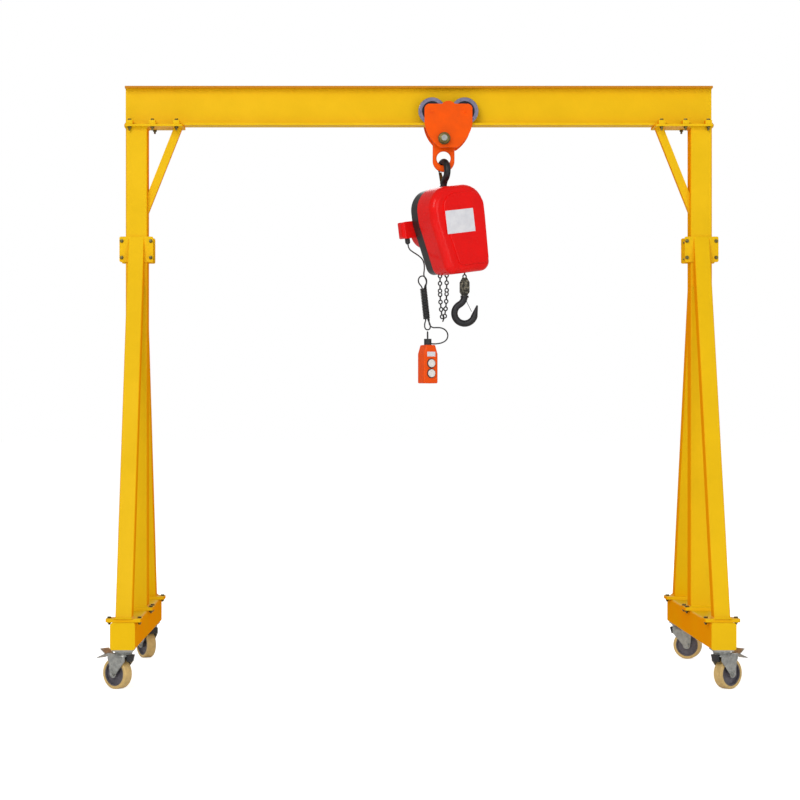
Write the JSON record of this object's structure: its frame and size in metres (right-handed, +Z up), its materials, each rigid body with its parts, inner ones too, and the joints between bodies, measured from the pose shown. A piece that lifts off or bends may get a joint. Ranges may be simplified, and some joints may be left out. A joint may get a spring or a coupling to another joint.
{
  "type": "portable gantry crane",
  "caption": "Portable A-frame gantry crane on swivel casters, with an I-beam girder, a push trolley and an electric chain hoist with a hand control.",
  "frame": {"origin": "on the floor, under the middle of the girder and of the base beams", "axes": "+X along the girder, +Y from front to back across the base beams, +Z up"},
  "size_m": [3.1695, 1.5752, 3],
  "materials": {
    "yellow_paint": "semi-gloss enamel",
    "orange_paint": "semi-gloss enamel",
    "red_paint": "gloss enamel",
    "black_casting": "satin",
    "black_forging": "satin",
    "block_casting": "satin",
    "chain_steel": "oiled",
    "zinc_steel": "zinc plated",
    "machined_steel": "machined",
    "wheel_hub": "painted grey",
    "polyurethane": "satin",
    "cable_rubber": "matt",
    "black_plastic": "matt",
    "orange_plastic": "satin",
    "white_plastic": "satin"
  },
  "bodies": {
    "frame": {"girder": "yellow_paint", "head_plate_left": "yellow_paint", "head_plate_right": "yellow_paint", "column_left": "yellow_paint", "column_right": "yellow_paint", "knee_brace_left": "yellow_paint", "knee_brace_right": "yellow_paint", "base_beam_left": "yellow_paint", "base_beam_right": "yellow_paint", "front_leg_left": "yellow_paint", "front_leg_right": "yellow_paint", "rear_leg_left": "yellow_paint", "rear_leg_right": "yellow_paint", "caster_plates": "zinc_steel"},
    "caster_swivel_front_left": {"caster_fork_front_left": "zinc_steel"},
    "caster_wheel_front_left": {"caster_hub_front_left": "wheel_hub", "caster_tyre_front_left": "polyurethane"},
    "brake_pedal_front_left": {"caster_pedal_front_left": "zinc_steel"},
    "caster_swivel_front_right": {"caster_fork_front_right": "zinc_steel"},
    "caster_wheel_front_right": {"caster_hub_front_right": "wheel_hub", "caster_tyre_front_right": "polyurethane"},
    "brake_pedal_front_right": {"caster_pedal_front_right": "zinc_steel"},
    "caster_swivel_rear_left": {"caster_fork_rear_left": "zinc_steel"},
    "caster_wheel_rear_left": {"caster_hub_rear_left": "wheel_hub", "caster_tyre_rear_left": "polyurethane"},
    "brake_pedal_rear_left": {"caster_pedal_rear_left": "zinc_steel"},
    "caster_swivel_rear_right": {"caster_fork_rear_right": "zinc_steel"},
    "caster_wheel_rear_right": {"caster_hub_rear_right": "wheel_hub", "caster_tyre_rear_right": "polyurethane"},
    "brake_pedal_rear_right": {"caster_pedal_rear_right": "zinc_steel"},
    "trolley": {"trolley_plate_front": "orange_paint", "trolley_plate_rear": "orange_paint", "trolley_tie_bar": "zinc_steel", "trolley_eye": "orange_paint"},
    "trolley_wheel_front_left": {"trolley_wheel_front_left": "machined_steel"},
    "trolley_wheel_front_right": {"trolley_wheel_front_right": "machined_steel"},
    "trolley_wheel_rear_left": {"trolley_wheel_rear_left": "machined_steel"},
    "trolley_wheel_rear_right": {"trolley_wheel_rear_right": "machined_steel"},
    "hoist": {"hoist_cover": "red_paint", "hoist_middle": "black_casting", "hoist_motor": "red_paint", "hoist_terminal_box": "red_paint", "hoist_gland": "black_plastic", "hoist_top_hook": "black_forging", "slack_chain": "chain_steel", "load_chain": "chain_steel", "chain_block": "block_casting", "pendant_cable": "cable_rubber", "cable_hank": "cable_rubber", "pendant_case": "orange_plastic", "pendant_gland": "black_plastic", "pendant_buttons": "white_plastic"},
    "load_hook": {"load_hook": "black_forging"}
  },
  "joints": [
    {"name": "swivel_front_left", "type": "hinge", "parent": "frame", "child": "caster_swivel_front_left", "pos_m": [-1.44, -0.682, 0.17], "axis": [0, 0, 1], "continuous": true},
    {"name": "roll_front_left", "type": "hinge", "parent": "caster_swivel_front_left", "child": "caster_wheel_front_left", "pos_m": [-1.47354, -0.65672, 0.075], "axis": [-0.6018, -0.7986, 0], "continuous": true},
    {"name": "brake_front_left", "type": "hinge", "parent": "caster_swivel_front_left", "child": "brake_pedal_front_left", "pos_m": [-1.49111, -0.64348, 0.163], "axis": [-0.6018, -0.7986, 0], "range_deg": [0, 8]},
    {"name": "swivel_front_right", "type": "hinge", "parent": "frame", "child": "caster_swivel_front_right", "pos_m": [1.44, -0.682, 0.17], "axis": [0, 0, 1], "continuous": true},
    {"name": "roll_front_right", "type": "hinge", "parent": "caster_swivel_front_right", "child": "caster_wheel_front_right", "pos_m": [1.47354, -0.65672, 0.075], "axis": [-0.6018, 0.7986, 0], "continuous": true},
    {"name": "brake_front_right", "type": "hinge", "parent": "caster_swivel_front_right", "child": "brake_pedal_front_right", "pos_m": [1.49111, -0.64348, 0.163], "axis": [-0.6018, 0.7986, 0], "range_deg": [0, 8]},
    {"name": "swivel_rear_left", "type": "hinge", "parent": "frame", "child": "caster_swivel_rear_left", "pos_m": [-1.44, 0.682, 0.17], "axis": [0, 0, 1], "continuous": true},
    {"name": "roll_rear_left", "type": "hinge", "parent": "caster_swivel_rear_left", "child": "caster_wheel_rear_left", "pos_m": [-1.46226, 0.71762, 0.075], "axis": [-0.848, -0.5299, 0], "continuous": true},
    {"name": "brake_rear_left", "type": "hinge", "parent": "caster_swivel_rear_left", "child": "brake_pedal_rear_left", "pos_m": [-1.47392, 0.73628, 0.163], "axis": [-0.848, -0.5299, 0], "range_deg": [0, 8]},
    {"name": "swivel_rear_right", "type": "hinge", "parent": "frame", "child": "caster_swivel_rear_right", "pos_m": [1.44, 0.682, 0.17], "axis": [0, 0, 1], "continuous": true},
    {"name": "roll_rear_right", "type": "hinge", "parent": "caster_swivel_rear_right", "child": "caster_wheel_rear_right", "pos_m": [1.47947, 0.66763, 0.075], "axis": [0.342, 0.9397, 0], "continuous": true},
    {"name": "brake_rear_right", "type": "hinge", "parent": "caster_swivel_rear_right", "child": "brake_pedal_rear_right", "pos_m": [1.50014, 0.66011, 0.163], "axis": [0.342, 0.9397, 0], "range_deg": [0, 8]},
    {"name": "trolley_travel", "type": "slide", "parent": "frame", "child": "trolley", "axis": [1, 0, 0], "range_m": [-1.22, 0.92]},
    {"name": "roll_trolley_wheel_front_left", "type": "hinge", "parent": "trolley", "child": "trolley_wheel_front_left", "pos_m": [0.067, -0.06, 2.8693], "axis": [0, 1, 0], "continuous": true},
    {"name": "roll_trolley_wheel_front_right", "type": "hinge", "parent": "trolley", "child": "trolley_wheel_front_right", "pos_m": [0.233, -0.06, 2.8693], "axis": [0, 1, 0], "continuous": true},
    {"name": "roll_trolley_wheel_rear_left", "type": "hinge", "parent": "trolley", "child": "trolley_wheel_rear_left", "pos_m": [0.067, 0.06, 2.8693], "axis": [0, 1, 0], "continuous": true},
    {"name": "roll_trolley_wheel_rear_right", "type": "hinge", "parent": "trolley", "child": "trolley_wheel_rear_right", "pos_m": [0.233, 0.06, 2.8693], "axis": [0, 1, 0], "continuous": true},
    {"name": "hoist_swing", "type": "hinge", "parent": "trolley", "child": "hoist", "pos_m": [0.128, 0, 2.5818], "axis": [1, 0, 0], "range_deg": [-15, 15]},
    {"name": "load_hook_swivel", "type": "hinge", "parent": "hoist", "child": "load_hook", "pos_m": [0.23459, -0.02179, 1.93092], "axis": [0, 0, 1], "continuous": true}
  ]
}
